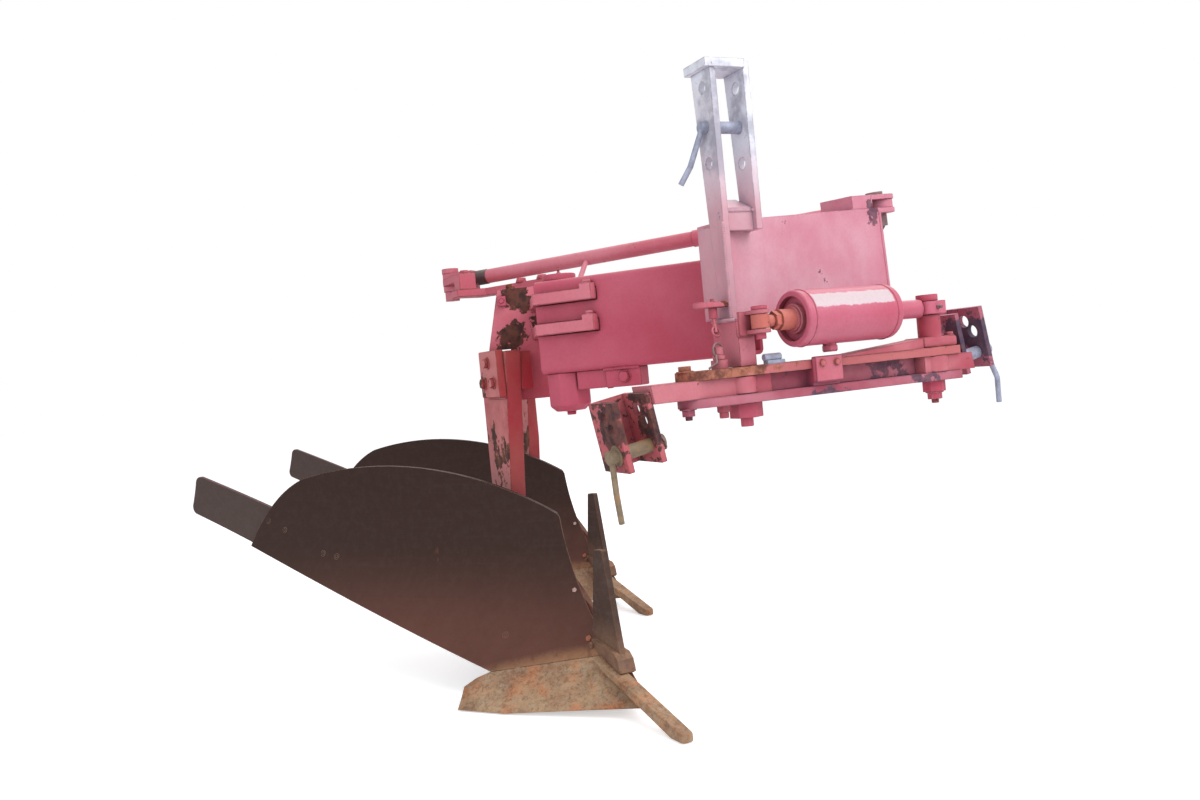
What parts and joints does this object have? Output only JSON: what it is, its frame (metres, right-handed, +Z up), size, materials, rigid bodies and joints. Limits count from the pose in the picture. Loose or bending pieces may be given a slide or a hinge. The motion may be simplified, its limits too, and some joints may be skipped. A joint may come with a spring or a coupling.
{
  "type": "mounted mouldboard plough",
  "caption": "Mounted mouldboard plough: bodies with curved boards, shares and chisel points under an oblique beam, with a mast and a swinging hitch bar.",
  "frame": {"origin": "middle of the bounding box's footprint, on the ground that the plough stands on", "axes": "+X in the direction of travel, +Y to the left (unploughed) side, +Z up"},
  "size_m": [2.5738, 1.6638, 1.328],
  "materials": {
    "bleached_pink_paint": "sun-bleached, chalky",
    "red_paint": "worn, satin",
    "leg_paint": "worn, satin",
    "board_steel": "scoured and rusted",
    "share_steel": "rusted, dusty",
    "body_steel": "dark rust",
    "bare_steel": "dull",
    "rusty_plate": "orange rust",
    "pin_steel": "dull, dusty"
  },
  "bodies": {
    "plough": {"first_share": "share_steel", "first_mouldboard": "board_steel", "first_tailpiece": "board_steel", "first_chisel_point": "share_steel", "first_fin": "body_steel", "first_frog": "body_steel", "first_landside": "board_steel", "first_leg": "leg_paint", "first_leg_cap": "leg_paint", "first_board_stay": "body_steel", "second_share": "share_steel", "second_mouldboard": "board_steel", "second_tailpiece": "board_steel", "second_chisel_point": "share_steel", "second_fin": "body_steel", "second_frog": "body_steel", "second_landside": "board_steel", "second_leg": "leg_paint", "second_leg_cap": "leg_paint", "second_board_stay": "body_steel", "carrier_beam": "red_paint", "carrier_hinge_ears": "red_paint", "carrier_arm": "red_paint", "first_leg_block": "leg_paint", "second_leg_block": "leg_paint", "main_beam": "red_paint", "beam_hinge_pin": "red_paint", "beam_link": "red_paint", "headstock_box": "bleached_pink_paint", "headstock_ear": "bleached_pink_paint", "headstock_stay_pin": "bare_steel", "stay_front_eye": "red_paint", "stay_rear_fork": "red_paint", "stay_tube": "red_paint", "stay_fork_bolt": "bare_steel", "mast": "bleached_pink_paint", "top_link_pin": "pin_steel", "column": "bleached_pink_paint", "pivot_pin": "bare_steel", "rod_bracket": "bleached_pink_paint", "rod_pin": "bare_steel"},
    "hitch_bar": {"hitch_bar_upper_plate": "rusty_plate", "hitch_bar_lower_plate": "red_paint", "right_clevis": "red_paint", "right_arm": "red_paint", "left_clevis": "red_paint", "left_arm": "red_paint", "right_link_pin": "pin_steel", "left_link_pin": "pin_steel", "bar_spacer": "red_paint", "left_post": "red_paint", "left_post_pin": "bare_steel"},
    "barrel": {"cylinder_barrel": "bleached_pink_paint"},
    "rod": {"cylinder_rod": "bleached_pink_paint"}
  },
  "joints": [
    {"name": "hitch_bar_swing", "type": "hinge", "parent": "plough", "child": "hitch_bar", "pos_m": [1.1726, 0.1369, 0.668], "axis": [0, 0, 1], "range_deg": [-10, 10]},
    {"name": "cylinder_swivel", "type": "hinge", "parent": "hitch_bar", "child": "barrel", "pos_m": [1.2056, 0.6029, 0.79], "axis": [0, 0, 1], "range_deg": [-0.18, 0.18]},
    {"name": "cylinder_stroke", "type": "slide", "parent": "barrel", "child": "rod", "axis": [0.0656, -0.9978, 0], "range_m": [-0.0115, 0.0115]}
  ],
  "couplings": [
    {"joint": "cylinder_swivel", "follows": "hitch_bar_swing", "ratio": 0.013},
    {"joint": "cylinder_stroke", "follows": "hitch_bar_swing", "m_per_rad": 0.06319}
  ]
}
